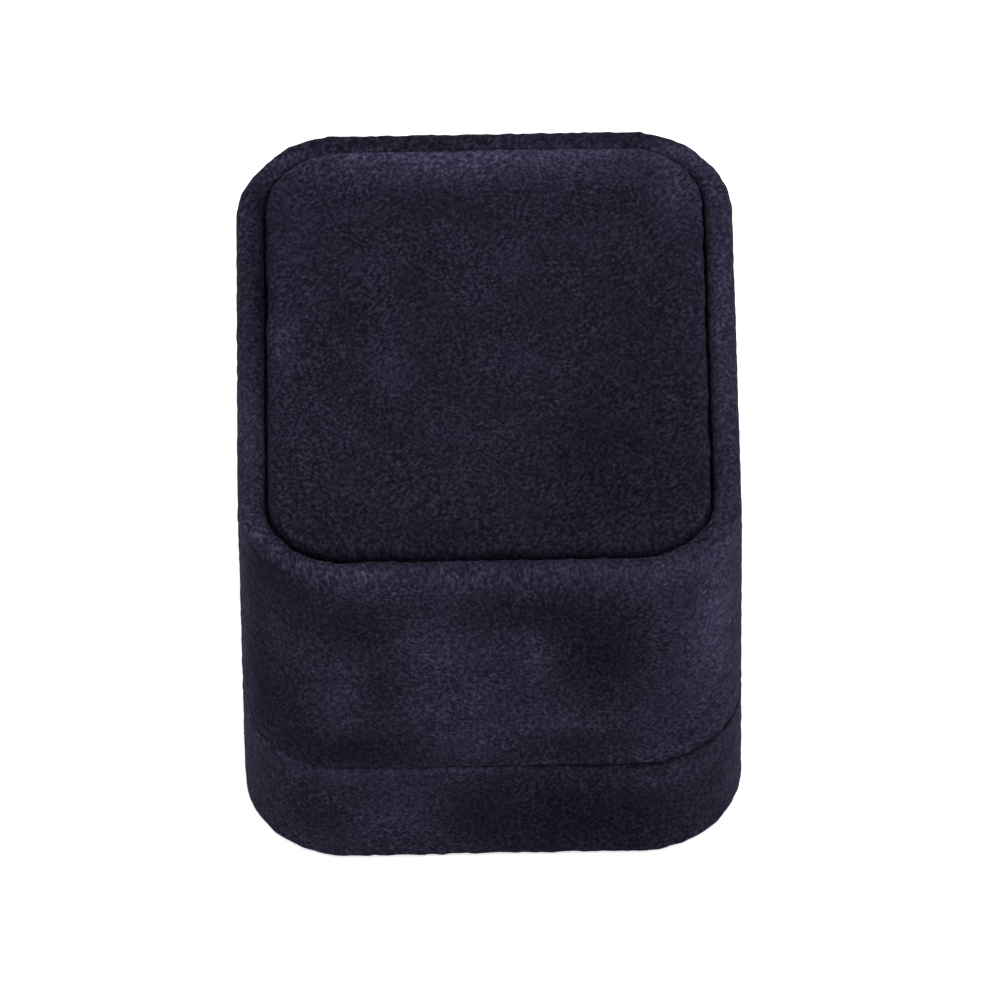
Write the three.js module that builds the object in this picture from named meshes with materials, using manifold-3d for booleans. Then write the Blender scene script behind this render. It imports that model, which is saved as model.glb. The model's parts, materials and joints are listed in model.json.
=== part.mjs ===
// A hinged ring box. Two moulded shells are wrapped in velvet, and a padded panel is let into the lid.
// A snap hinge lies in the rear walls under a velvet spine strip. The base holds a pair of ring
// cushions with the ring slot between them, and the lid is lined with satin.
// Millimetres, +Z up, the front faces -Y. The origin is on the table under the middle of the box.
import * as THREE from "three";
import { mergeVertices } from "three/addons/utils/BufferGeometryUtils.js";
import Module from "manifold-3d";

const wasm = await Module();
wasm.setup();

// Outside of the box, over the velvet.
const WIDTH = 50;
const DEPTH = 60.8;
const CORNER_RADIUS = 10.7;
const RIM_TOP = 42;
const SEAM_Z = 13.6;
const SEAM_GAP = 0.2;
const TOP_EDGE = 1.2;
const BOTTOM_EDGE = 0.8;

// Layers of the walls. Every inset is measured from the outside of the velvet.
const VELVET = 0.7;
const FIT = 0.15;
const WALL = 1.5;
const TURN = 0.6;
const SHELL_OUT = VELVET + FIT;
const SHELL_IN = SHELL_OUT + WALL;
const LIP_OUT = SHELL_IN + FIT;
const LIP_IN = LIP_OUT + TURN;
const LIP_HEIGHT = 3;

// Floor of the base, from the table up.
const BOTTOM_CARD_INSET = 3;
const BOTTOM_CARD = 1;
const WRAP_Z = 0.3;
const TURN_UNDER = 2.7;
const FLOOR_Z = 1.2;
const FLOOR = 1.6;

// Ring cushions, which stand on a card on the floor of the base.
const CARD = 1;
const CUSHION_INSET = 3.4;
const CUSHION_TOP = 15;
const CUSHION_EDGE = 2.4;
const SLOT_CORNER = 3;
const CUSHION_SKIN = 0.8;
const SLOT_HALF = 0.5;
const FOAM_GAP = 0.2;

// Top of the lid: a rim, a groove, and the padded panel that sits in the recess.
const RIM_WALL = 1;
const RIM_IN = SHELL_OUT + RIM_WALL;
const GROOVE_OUT = RIM_IN + FIT + VELVET;
const PANEL_INSET = GROOVE_OUT + 0.3;
const PANEL_TOP = 42.5;
const PANEL_EDGE = 1.2;
const RECESS_Z = 38.7;
const RECESS_FLOOR = 1.3;

// Lining of the lid.
const LINING = 0.75;
const LINER_SKIN = 0.6;
const LINER_DROP = 4;
const LINER_EDGE = 1.8;

// Snap hinge. Its pin runs along X just under the outside of the rear wall, at the seam.
const AXIS_INSET = 0.2;
const PIN_RADIUS = 0.5;
const BORE_RADIUS = 0.56;
const KNUCKLE_RADIUS = 0.95;
const LEAF = 0.45;
const LEAF_HALF = 15;
const LEAF_HEIGHT = 8.5;
const KNUCKLE_CLEAR = 1.15;
const LID_KNUCKLE_HALF = 5.8;
const KNUCKLE_GAP = 0.2;
const PIN_HEAD = 0.3;
const SPRING_HALF = 4;
const SPRING = 0.25;
const RIVET_X = 11;
const RIVET_Z = 5.2;
const RIVET_RADIUS = 0.55;
const RIVET_HEAD_RADIUS = 1;
const RIVET_HEAD = 0.35;
const POCKET_MARGIN = 0.3;

// Spine strip over the hinge.
const STRIP_HALF = 16;
const STRIP_PROUD = 0.4;
const STRIP_DEEP = 0.35;
const STRIP_FOLD = 1.6;
const STRIP_BOTTOM = 1.4;
const STRIP_TOP = 41;

const ARC_STEPS = 4;
const BEVEL_STEPS = 3;
const ROUND_STEPS = 16;
const PAST = 1;

const REAR = DEPTH / 2;
const BASE_TOP = SEAM_Z - SEAM_GAP / 2;
const LID_BOTTOM = SEAM_Z + SEAM_GAP / 2;
const BULGE = KNUCKLE_RADIUS - AXIS_INSET;
const LEAF_OUT = AXIS_INSET + KNUCKLE_RADIUS - LEAF;
const LEAF_IN = AXIS_INSET + KNUCKLE_RADIUS;
const POCKET_IN = LEAF_IN + FIT;

const FINISHES = {
  velvet: { color: 0x221e30, roughness: 0.95, metalness: 0 },
  satin: { color: 0x2b2740, roughness: 0.45, metalness: 0 },
  plastic: { color: 0x17171a, roughness: 0.5, metalness: 0 },
  board: { color: 0x8c8578, roughness: 0.9, metalness: 0 },
  foam: { color: 0xd8d4c8, roughness: 1, metalness: 0 },
  steel: { color: 0xb4b2ac, roughness: 0.35, metalness: 1 },
};

// ---- Solids ----

function solid(geometry) {
  const bare = geometry.clone();
  bare.deleteAttribute("normal");
  bare.deleteAttribute("uv");
  const merged = mergeVertices(bare, 1e-4);
  return new wasm.Manifold(
    new wasm.Mesh({
      numProp: 3,
      vertProperties: new Float32Array(merged.attributes.position.array),
      triVerts: new Uint32Array(merged.index.array),
    }),
  );
}

function geometryOf(body) {
  const mesh = body.getMesh();
  const geometry = new THREE.BufferGeometry();
  geometry.setAttribute("position", new THREE.BufferAttribute(mesh.vertProperties, 3));
  geometry.setIndex(new THREE.BufferAttribute(mesh.triVerts, 1));
  geometry.computeVertexNormals();
  return geometry;
}

function piece(parent, name, body, finish) {
  const mesh = new THREE.Mesh(geometryOf(body), new THREE.MeshStandardMaterial(FINISHES[finish]));
  mesh.name = name;
  parent.add(mesh);
  return mesh;
}

// A rectangle from corner to corner, with a radius for each corner, counted from low x, low y round.
function roundedRectangle(x0, y0, x1, y1, radii) {
  const [a, b, c, d] = radii;
  const quarter = Math.PI / 2;
  const shape = new THREE.Shape();
  shape.moveTo(x0 + a, y0);
  shape.lineTo(x1 - b, y0);
  shape.absarc(x1 - b, y0 + b, b, -quarter, 0);
  shape.lineTo(x1, y1 - c);
  shape.absarc(x1 - c, y1 - c, c, 0, quarter);
  shape.lineTo(x0 + d, y1);
  shape.absarc(x0 + d, y1 - d, d, quarter, 2 * quarter);
  shape.lineTo(x0, y0 + a);
  shape.absarc(x0 + a, y0 + a, a, 2 * quarter, 3 * quarter);
  return shape;
}

// The box's own outline, moved inwards by inset. Its corners stay concentric.
function outline(inset) {
  const x = WIDTH / 2 - inset;
  const y = DEPTH / 2 - inset;
  const r = CORNER_RADIUS - inset;
  return roundedRectangle(-x, -y, x, y, [r, r, r, r]);
}

function prism(shape, z0, z1) {
  const geometry = new THREE.ExtrudeGeometry(shape, {
    depth: z1 - z0,
    bevelEnabled: false,
    curveSegments: ARC_STEPS,
  });
  return solid(geometry.translate(0, 0, z0));
}

function plate(inset, z0, z1) {
  return prism(outline(inset), z0, z1);
}

function ring(outer, inner, z0, z1) {
  const shape = outline(outer);
  shape.holes.push(outline(inner));
  return prism(shape, z0, z1);
}

function block(x0, x1, y0, y1, z0, z1) {
  const geometry = new THREE.BoxGeometry(x1 - x0, y1 - y0, z1 - z0);
  return solid(geometry.translate((x0 + x1) / 2, (y0 + y1) / 2, (z0 + z1) / 2));
}

// A cylinder along X or along Y.
function rod(axis, radius, from, to, steps = ROUND_STEPS) {
  const geometry = new THREE.CylinderGeometry(radius, radius, to - from, steps);
  geometry.translate(0, (from + to) / 2, 0);
  if (axis === "x") geometry.rotateZ(-Math.PI / 2);
  return solid(geometry);
}

// A prism whose edge is rounded at one end only: the far end of a bevelled prism is cut off.
function crowned(shape, z0, z1, edge, end = "top") {
  const low = end === "top" ? z0 - edge : z0;
  const high = end === "top" ? z1 : z1 + edge;
  const geometry = new THREE.ExtrudeGeometry(shape, {
    depth: high - low - 2 * edge,
    bevelEnabled: true,
    bevelThickness: edge,
    bevelSize: edge,
    bevelOffset: -edge,
    bevelSegments: BEVEL_STEPS,
    curveSegments: ARC_STEPS,
  });
  const body = solid(geometry.translate(0, 0, low + edge));
  return body.intersect(block(-WIDTH, WIDTH, -DEPTH, DEPTH, z0, z1));
}

// The part of the rear wall, down to a depth under the velvet, that lies within half of the middle.
function rearSlot(half, depth, z0, z1) {
  return block(-half, half, REAR - depth, REAR + PAST, z0, z1);
}

// ---- Base ----

function baseShell() {
  const rim = BASE_TOP - TURN - FIT;
  const rearRim = BASE_TOP - FIT;
  return ring(SHELL_OUT, SHELL_IN, FLOOR_Z, rim)
    .add(plate(SHELL_OUT, FLOOR_Z, FLOOR_Z + FLOOR))
    .add(block(-STRIP_HALF, STRIP_HALF, REAR - SHELL_IN, REAR - POCKET_IN, FLOOR_Z, rearRim))
    .subtract(leafPocket(-1))
    .subtract(rearSlot(SPRING_HALF + POCKET_MARGIN, SHELL_IN + PAST, SEAM_Z - LEAF_HEIGHT, SEAM_Z));
}

function baseVelvet() {
  return crowned(outline(0), WRAP_Z, BASE_TOP, BOTTOM_EDGE, "bottom")
    .subtract(plate(TURN_UNDER, WRAP_Z - PAST, FLOOR_Z))
    .subtract(plate(VELVET, FLOOR_Z - FIT, BASE_TOP - TURN))
    .subtract(plate(LIP_IN, BASE_TOP - PAST, BASE_TOP + PAST))
    .add(ring(LIP_OUT, LIP_IN, BASE_TOP - LIP_HEIGHT, BASE_TOP))
    .subtract(rearSlot(STRIP_HALF + POCKET_MARGIN, LIP_IN + PAST, FLOOR_Z, BASE_TOP + PAST));
}

function bottomCard() {
  return plate(BOTTOM_CARD_INSET, 0, BOTTOM_CARD);
}

const CUSHION_Z = FLOOR_Z + FLOOR + FIT + CARD + FIT;

function ringPadCard() {
  return plate(LIP_OUT, CUSHION_Z - FIT - CARD, CUSHION_Z - FIT);
}

// Half of the cushion pair, shrunk by inset: side -1 is the front half, and 1 the rear half.
function cushionOutline(side, inset) {
  const x = WIDTH / 2 - CUSHION_INSET - inset;
  const outer = DEPTH / 2 - CUSHION_INSET - inset;
  const middle = SLOT_HALF + inset;
  const r = CORNER_RADIUS - CUSHION_INSET - inset;
  const small = SLOT_CORNER - inset;
  if (side < 0) return roundedRectangle(-x, -outer, x, -middle, [r, r, small, small]);
  return roundedRectangle(-x, middle, x, outer, [small, small, r, r]);
}

function ringCushion(side) {
  const hollow = crowned(
    cushionOutline(side, CUSHION_SKIN),
    CUSHION_Z - PAST,
    CUSHION_TOP - CUSHION_SKIN,
    CUSHION_EDGE - CUSHION_SKIN,
  );
  return crowned(cushionOutline(side, 0), CUSHION_Z, CUSHION_TOP, CUSHION_EDGE).subtract(hollow);
}

function ringFoam(side) {
  const inset = CUSHION_SKIN + FOAM_GAP;
  return crowned(cushionOutline(side, inset), CUSHION_Z, CUSHION_TOP - inset, CUSHION_EDGE - inset);
}

// ---- Lid ----

function lidShell() {
  const rim = LID_BOTTOM + TURN + FIT;
  const rearRim = LID_BOTTOM + FIT;
  return ring(SHELL_OUT, SHELL_IN, rim, RECESS_Z)
    .add(plate(SHELL_OUT, RECESS_Z - RECESS_FLOOR, RECESS_Z))
    .add(ring(SHELL_OUT, RIM_IN, RECESS_Z - PAST, RIM_TOP - VELVET - FIT))
    .add(block(-STRIP_HALF, STRIP_HALF, REAR - SHELL_IN, REAR - POCKET_IN, rearRim, rim + PAST))
    .subtract(leafPocket(1));
}

function lidVelvet() {
  const groove = RECESS_Z + FIT;
  return crowned(outline(0), LID_BOTTOM, RIM_TOP, TOP_EDGE)
    .subtract(plate(GROOVE_OUT, groove, RIM_TOP + PAST))
    .subtract(plate(VELVET, LID_BOTTOM + TURN, groove + FIT))
    .subtract(ring(VELVET, GROOVE_OUT - VELVET, groove, RIM_TOP - VELVET))
    .subtract(plate(LIP_IN, LID_BOTTOM - PAST, LID_BOTTOM + PAST))
    .add(ring(LIP_OUT, LIP_IN, LID_BOTTOM, LID_BOTTOM + LIP_HEIGHT))
    .subtract(rearSlot(STRIP_HALF + POCKET_MARGIN, LIP_IN + PAST, LID_BOTTOM - PAST, RECESS_Z))
    .subtract(rearSlot(STRIP_HALF + POCKET_MARGIN, VELVET, RECESS_Z - PAST, STRIP_TOP + FIT));
}

function topPanelVelvet() {
  const hollow = crowned(
    outline(PANEL_INSET + VELVET),
    RECESS_Z - PAST,
    PANEL_TOP - VELVET,
    PANEL_EDGE - VELVET,
  );
  return crowned(outline(PANEL_INSET), RECESS_Z + FIT, PANEL_TOP, PANEL_EDGE).subtract(hollow);
}

const PANEL_CARD_Z = RECESS_Z + 2 * FIT;

function topPanelCard() {
  return plate(PANEL_INSET + VELVET + FIT, PANEL_CARD_Z, PANEL_CARD_Z + CARD);
}

function topPanelFoam() {
  const skin = VELVET + FIT;
  const z0 = PANEL_CARD_Z + CARD + FIT;
  return crowned(outline(PANEL_INSET + skin), z0, PANEL_TOP - skin, PANEL_EDGE - skin);
}

const LINER_CARD_Z = RECESS_Z - RECESS_FLOOR - FIT - CARD;
const LINER_TOP = LINER_CARD_Z - FIT;

function lidLinerCard() {
  return plate(LIP_OUT, LINER_CARD_Z, LINER_CARD_Z + CARD);
}

function lidWallLining() {
  return ring(LIP_OUT, LIP_OUT + LINING, LID_BOTTOM + LIP_HEIGHT + FIT, LINER_TOP);
}

const LINER_INSET = LIP_OUT + LINING + FOAM_GAP;

function lidLinerSatin() {
  const low = LINER_TOP - LINER_DROP;
  const hollow = crowned(
    outline(LINER_INSET + LINER_SKIN),
    low + LINER_SKIN,
    LINER_TOP + PAST,
    LINER_EDGE - LINER_SKIN,
    "bottom",
  );
  return crowned(outline(LINER_INSET), low, LINER_TOP, LINER_EDGE, "bottom").subtract(hollow);
}

function lidLinerFoam() {
  const inset = LINER_SKIN + FOAM_GAP;
  const low = LINER_TOP - LINER_DROP + inset;
  return crowned(outline(LINER_INSET + inset), low, LINER_TOP, LINER_EDGE - inset, "bottom");
}

// ---- Hinge, modelled about its axis: x along the pin, y towards the rear. side is 1 for the lid ----

// Room in a shell's rear wall for one leaf, its rivets and their heads.
function leafPocket(side) {
  const reach = side * (LEAF_HEIGHT + POCKET_MARGIN);
  const low = SEAM_Z + Math.min(0, reach);
  const high = SEAM_Z + Math.max(0, reach);
  let room = rearSlot(LEAF_HALF + POCKET_MARGIN, POCKET_IN, low, high);
  for (const x of [-RIVET_X, RIVET_X]) {
    const hole = rod("y", RIVET_RADIUS + FIT, REAR - SHELL_IN - PAST, REAR);
    const seat = rod(
      "y",
      RIVET_HEAD_RADIUS + FIT,
      REAR - SHELL_IN - PAST,
      REAR - SHELL_IN + RIVET_HEAD + FIT,
    );
    room = room.add(hole.add(seat).translate([x, 0, SEAM_Z + side * RIVET_Z]));
  }
  return room;
}

// One stamped leaf. spans lists where along X its edge is curled into knuckles.
function hingeLeaf(side, spans) {
  const y0 = -KNUCKLE_RADIUS;
  const y1 = LEAF - KNUCKLE_RADIUS;
  const z = (from, to) => (side > 0 ? [from, to] : [-to, -from]);
  let leaf = block(-LEAF_HALF, LEAF_HALF, y0, y1, ...z(KNUCKLE_CLEAR, LEAF_HEIGHT));
  for (const [x0, x1] of spans) {
    leaf = leaf.add(block(x0, x1, y0, y1, ...z(0, KNUCKLE_CLEAR + FIT)));
    leaf = leaf.add(rod("x", KNUCKLE_RADIUS, x0, x1));
  }
  leaf = leaf.subtract(rod("x", BORE_RADIUS, -LEAF_HALF - PAST, LEAF_HALF + PAST));
  for (const x of [-RIVET_X, RIVET_X]) {
    const hole = rod("y", RIVET_RADIUS + FIT / 2, y0 - PAST, y1 + PAST);
    leaf = leaf.subtract(hole.translate([x, 0, side * RIVET_Z]));
  }
  return leaf;
}

function hingePin() {
  const end = LEAF_HALF + PIN_HEAD / 2;
  const head = (PIN_RADIUS + KNUCKLE_RADIUS) / 2;
  const profile = [
    new THREE.Vector2(0, -end - PIN_HEAD),
    new THREE.Vector2(head, -end - PIN_HEAD),
    new THREE.Vector2(head, -end),
    new THREE.Vector2(PIN_RADIUS, -end),
    new THREE.Vector2(PIN_RADIUS, end),
    new THREE.Vector2(head, end),
    new THREE.Vector2(head, end + PIN_HEAD),
    new THREE.Vector2(0, end + PIN_HEAD),
  ];
  return solid(new THREE.LatheGeometry(profile, ROUND_STEPS).rotateZ(-Math.PI / 2));
}

// A bowed strip of spring steel. Its foot lies behind the base leaf, and its tip bears on the lid's knuckle.
function hingeSpring() {
  const face = -KNUCKLE_RADIUS - 0.2;
  const foot = -LEAF_HEIGHT + 1.5;
  const bow = face - 0.85;
  const strip = new THREE.Shape();
  strip.moveTo(face, foot);
  strip.quadraticCurveTo(bow, foot / 2, face, 0);
  strip.lineTo(face - SPRING, 0);
  strip.quadraticCurveTo(bow - SPRING, foot / 2, face - SPRING, foot);
  const geometry = new THREE.ExtrudeGeometry(strip, {
    depth: 2 * SPRING_HALF,
    bevelEnabled: false,
    curveSegments: ARC_STEPS,
  });
  // The strip is drawn across y and z, so its own x, y and z turn into y, z and x.
  geometry.translate(0, 0, -SPRING_HALF).rotateX(Math.PI / 2).rotateZ(Math.PI / 2);
  return solid(geometry);
}

// A rivet through a leaf and a shell wall. Its end is flush in the leaf, and its head is inside the box.
function rivet() {
  const outer = AXIS_INSET - LEAF_OUT - FIT / 2;
  const seat = AXIS_INSET - SHELL_IN + RIVET_HEAD;
  const shank = rod("y", RIVET_RADIUS, seat - RIVET_HEAD / 2, outer);
  return shank.add(rod("y", RIVET_HEAD_RADIUS, seat - RIVET_HEAD, seat));
}

// One half of the velvet spine strip, on the outside of the rear wall.
function spineStrip(z0, z1) {
  return block(-STRIP_HALF, STRIP_HALF, REAR - STRIP_DEEP, REAR + STRIP_PROUD, z0, z1);
}

// ---- Assembly ----

const box = new THREE.Group();
box.name = "ring_box";
box.position.y = -BULGE / 2;

const base = new THREE.Group();
piece(base, "base_shell", baseShell(), "plastic");
piece(base, "base_velvet", baseVelvet(), "velvet");
piece(base, "base_bottom_card", bottomCard(), "velvet");
piece(base, "ring_pad_card", ringPadCard(), "board");
piece(base, "ring_cushion_front", ringCushion(-1), "velvet");
piece(base, "ring_cushion_rear", ringCushion(1), "velvet");
piece(base, "ring_foam_front", ringFoam(-1), "foam");
piece(base, "ring_foam_rear", ringFoam(1), "foam");
piece(base, "hinge_cover_lower", spineStrip(STRIP_BOTTOM, SEAM_Z - STRIP_FOLD), "velvet");

const lid = new THREE.Group();
piece(lid, "lid_shell", lidShell(), "plastic");
piece(lid, "lid_velvet", lidVelvet(), "velvet");
piece(lid, "top_panel_card", topPanelCard(), "board");
piece(lid, "top_panel_foam", topPanelFoam(), "foam");
piece(lid, "top_panel_velvet", topPanelVelvet(), "velvet");
piece(lid, "lid_wall_lining", lidWallLining(), "satin");
piece(lid, "lid_liner_card", lidLinerCard(), "board");
piece(lid, "lid_liner_foam", lidLinerFoam(), "foam");
piece(lid, "lid_liner_satin", lidLinerSatin(), "satin");
piece(lid, "hinge_cover_upper", spineStrip(SEAM_Z + STRIP_FOLD, STRIP_TOP), "velvet");

const hinge = new THREE.Group();
hinge.position.set(0, REAR - AXIS_INSET, SEAM_Z);
const lidSpan = [-LID_KNUCKLE_HALF, LID_KNUCKLE_HALF];
const baseSpans = [
  [-LEAF_HALF, -LID_KNUCKLE_HALF - KNUCKLE_GAP],
  [LID_KNUCKLE_HALF + KNUCKLE_GAP, LEAF_HALF],
];
piece(hinge, "hinge_base_leaf", hingeLeaf(-1, baseSpans), "steel");
piece(hinge, "hinge_lid_leaf", hingeLeaf(1, [lidSpan]), "steel");
piece(hinge, "hinge_pin", hingePin(), "steel");
piece(hinge, "hinge_spring", hingeSpring(), "steel");
for (const [body, level] of [["base", -RIVET_Z], ["lid", RIVET_Z]]) {
  for (const [side, x] of [["left", -RIVET_X], ["right", RIVET_X]]) {
    piece(hinge, `hinge_${body}_rivet_${side}`, rivet(), "steel").position.set(x, 0, level);
  }
}

box.add(base, lid, hinge);
export default box;
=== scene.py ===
"""Looks of a hinged ring box covered in velvet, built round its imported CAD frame.

The box stands shut on a pale floor. Its velvet wraps, padded top panel, ring cushions, satin lining and
the strip over the hinge are modelled here. The shells, cards, foams and hinge are the frame's own.
Modelling is in millimetres, and each mesh is written in metres.
"""
import json
import math

import bmesh
import bpy
import numpy as np
from mathutils import Matrix, Vector


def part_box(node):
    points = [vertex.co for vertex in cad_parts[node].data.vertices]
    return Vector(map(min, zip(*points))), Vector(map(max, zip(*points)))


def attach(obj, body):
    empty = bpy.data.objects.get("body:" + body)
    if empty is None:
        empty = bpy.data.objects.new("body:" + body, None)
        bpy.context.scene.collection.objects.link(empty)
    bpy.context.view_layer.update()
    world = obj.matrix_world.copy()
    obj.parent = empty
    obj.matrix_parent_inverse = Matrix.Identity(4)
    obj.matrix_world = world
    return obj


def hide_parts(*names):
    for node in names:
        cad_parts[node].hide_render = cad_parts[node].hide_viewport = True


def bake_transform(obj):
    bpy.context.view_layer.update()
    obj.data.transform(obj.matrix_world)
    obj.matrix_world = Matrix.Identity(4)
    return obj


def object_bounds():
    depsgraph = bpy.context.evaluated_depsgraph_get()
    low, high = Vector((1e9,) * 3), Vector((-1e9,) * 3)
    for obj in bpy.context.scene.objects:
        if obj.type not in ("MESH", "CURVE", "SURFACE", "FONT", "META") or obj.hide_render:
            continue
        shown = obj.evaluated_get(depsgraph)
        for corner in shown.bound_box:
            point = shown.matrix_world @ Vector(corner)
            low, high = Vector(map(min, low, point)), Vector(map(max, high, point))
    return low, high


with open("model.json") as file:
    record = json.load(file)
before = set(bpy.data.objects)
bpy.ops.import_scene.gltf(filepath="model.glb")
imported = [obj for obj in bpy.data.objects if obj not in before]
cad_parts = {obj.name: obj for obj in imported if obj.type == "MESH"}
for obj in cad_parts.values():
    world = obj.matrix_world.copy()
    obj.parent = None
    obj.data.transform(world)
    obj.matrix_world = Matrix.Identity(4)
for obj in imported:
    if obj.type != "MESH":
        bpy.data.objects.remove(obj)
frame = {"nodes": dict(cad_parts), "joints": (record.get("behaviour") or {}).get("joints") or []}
cad_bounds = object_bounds()

MM = 0.001


def box_mm(node):
    low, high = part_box(node)
    return np.array(low) / MM, np.array(high) / MM


# ---- Places, from the frame ----

lid_low, lid_high = box_mm("lid_velvet")
base_low, base_high = box_mm("base_velvet")
panel_low, panel_high = box_mm("top_panel_velvet")
lining_low, lining_high = box_mm("lid_wall_lining")
satin_low, satin_high = box_mm("lid_liner_satin")
strip_low, strip_high = box_mm("hinge_cover_upper")
tail_low = box_mm("hinge_cover_lower")[0]
knuckle_high = box_mm("hinge_base_leaf")[1]
pin_high = box_mm("hinge_pin")[1]
hinge = next(j for j in frame["joints"] if j["name"] == "lid_hinge")

HALF_X = base_high[0]
FRONT = base_low[1]
REAR = base_high[1]
MIDDLE_Y = (FRONT + REAR) / 2
HALF_Y = (REAR - FRONT) / 2
CORNER = 10.7
RIM_TOP = lid_high[2]
LID_BOTTOM = lid_low[2]
BASE_TOP = base_high[2]
HINGE_Y = hinge["pos_m"][1] / MM
HINGE_Z = hinge["pos_m"][2] / MM

# ---- Layers of the walls: insets are from the outside of the velvet, heights are above the floor ----

SKIN = 0.7  # velvet with its backing, on the walls and the rim
TURN = 0.6  # and where it turns in at the seam
GROOVE_IN, GROOVE_OUT = 2.0, 2.7  # its two faces on the wall round the padded panel
GROOVE_Z = 38.85  # the floor of the groove that runs round the panel
FOOT = 0.36  # how far the velvet turns in along the groove's floor, and how thick it is there
LIP_OUT, LIP_IN = 2.5, 3.1  # its two faces inside the walls, at the seam
LIP_HEIGHT = 3  # how far it goes on along the inside of the walls
TURN_UNDER = 2.7  # how far it goes on under the base
UNDER_Z = 1.05  # the top of that turned-in edge
WRAP_REACH = 0.08  # the lowest part of the base's wrap
RIM_ROLL, GROOVE_ROLL = 1.5, 0.7  # how round the rim is outside and at the groove
SEAM_ROLL, LIP_ROLL = 0.35, 0.25  # and the wraps' edges at the seam, outside and inside
FLOOR_ROLL, UNDER_ROLL = 0.55, 0.25  # and the base's lower edge, outside and underneath
PILE_OVER = 0.06  # how far the pile stands into the seam
GAP_HALF = strip_high[0] + 0.3  # half the width of the gap that the strip over the hinge lies in
STRIP_END_Z = 41.2  # the top of that gap

NAP_STEP = 0.3  # between points where the pile shows
HIDDEN_STEP = 4  # and where it doesn't


# ---- Mesh making ----

def make_mesh(name, points, faces):
    """A closed mesh from points in millimetres, without the points that no face uses."""
    points = np.asarray(points, float)
    used = np.zeros(len(points), bool)
    for face in faces:
        used[list(face)] = True
    renumber = np.cumsum(used) - 1
    mesh = bpy.data.meshes.new(name)
    mesh.from_pydata((points[used] * MM).tolist(), [], [[int(renumber[i]) for i in f] for f in faces])
    bm = bmesh.new()
    bm.from_mesh(mesh)
    bmesh.ops.recalc_face_normals(bm, faces=bm.faces)
    if bm.calc_volume(signed=True) < 0:
        bmesh.ops.reverse_faces(bm, faces=bm.faces)
    bm.to_mesh(mesh)
    bm.free()
    mesh.polygons.foreach_set("use_smooth", [True] * len(mesh.polygons))
    piece = bpy.data.objects.new(name, mesh)
    bpy.context.scene.collection.objects.link(piece)
    return piece


def points_of(mesh):
    co = np.empty(len(mesh.vertices) * 3)
    mesh.vertices.foreach_get("co", co)
    return co.reshape(-1, 3) / MM


def normals_of(mesh):
    directions = np.empty(len(mesh.vertices) * 3)
    mesh.vertex_normals.foreach_get("vector", directions)
    return directions.reshape(-1, 3)


def set_points(piece, points):
    piece.data.vertices.foreach_set("co", (np.asarray(points) * MM).ravel())
    piece.data.update()


def straight(a, b, step):
    """Points from a up to but not including b."""
    a, b = np.array(a, float), np.array(b, float)
    n = max(1, round(np.linalg.norm(b - a) / step))
    return [a + (b - a) * i / n for i in range(n)]


def unit(v):
    return v / np.linalg.norm(v)


def fillet(corners):
    """A closed outline through corners (inset, z, radius, step), each rounded off, with points step apart."""
    n = len(corners)
    places = [np.array(c[:2], float) for c in corners]
    arcs = []
    for i, (_, _, radius, step) in enumerate(corners):
        back, ahead = unit(places[i - 1] - places[i]), unit(places[(i + 1) % n] - places[i])
        half = math.acos(np.clip(back @ ahead, -1, 1)) / 2
        if not radius:
            arcs.append([places[i]])
            continue
        centre = places[i] + unit(back + ahead) * radius / math.sin(half)
        start = places[i] + back * radius / math.tan(half) - centre
        stop = places[i] + ahead * radius / math.tan(half) - centre
        turn = math.pi - 2 * half
        count = max(3, round(radius * turn / step))
        shares = [k / count for k in range(count + 1)]
        arcs.append([
            centre + (math.sin((1 - t) * turn) * start + math.sin(t * turn) * stop) / math.sin(turn)
            for t in shares
        ])
    points = []
    for i, arc in enumerate(arcs):
        points += arc[:-1]
        points += straight(arc[-1], arcs[(i + 1) % n][0], corners[i][3])
    return np.array(points)


def stations(step, gap):
    """Points round the outside of the box with their outward normals: first from x = -gap at the rear round
    the front to x = gap, then across the gap. The last value counts the steps before the gap."""
    x, y = HALF_X - CORNER, HALF_Y - CORNER
    spots, facing = [], []

    def line(a, b, normal):
        for p in straight(a, b, step):
            spots.append(p)
            facing.append(normal)

    def arc(cx, cy, start):
        n = round(CORNER * math.pi / 2 / step)
        for k in range(n):
            a = start + math.pi / 2 * k / n
            facing.append((math.cos(a), math.sin(a)))
            spots.append((cx + CORNER * math.cos(a), cy + CORNER * math.sin(a)))

    if gap < x:
        line((-gap, HALF_Y), (-x, HALF_Y), (0, 1))
    arc(-x, y, math.pi / 2)
    line((-HALF_X, y), (-HALF_X, -y), (-1, 0))
    arc(-x, -y, math.pi)
    line((-x, -HALF_Y), (x, -HALF_Y), (0, -1))
    arc(x, -y, -math.pi / 2)
    line((HALF_X, -y), (HALF_X, y), (1, 0))
    arc(x, y, 0)
    line((x, HALF_Y), (gap, HALF_Y), (0, 1))
    kept = len(spots)
    if gap:
        line((gap, HALF_Y), (-gap, HALF_Y), (0, 1))
    return np.array(spots) + [0, MIDDLE_Y], np.array(facing), kept


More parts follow.
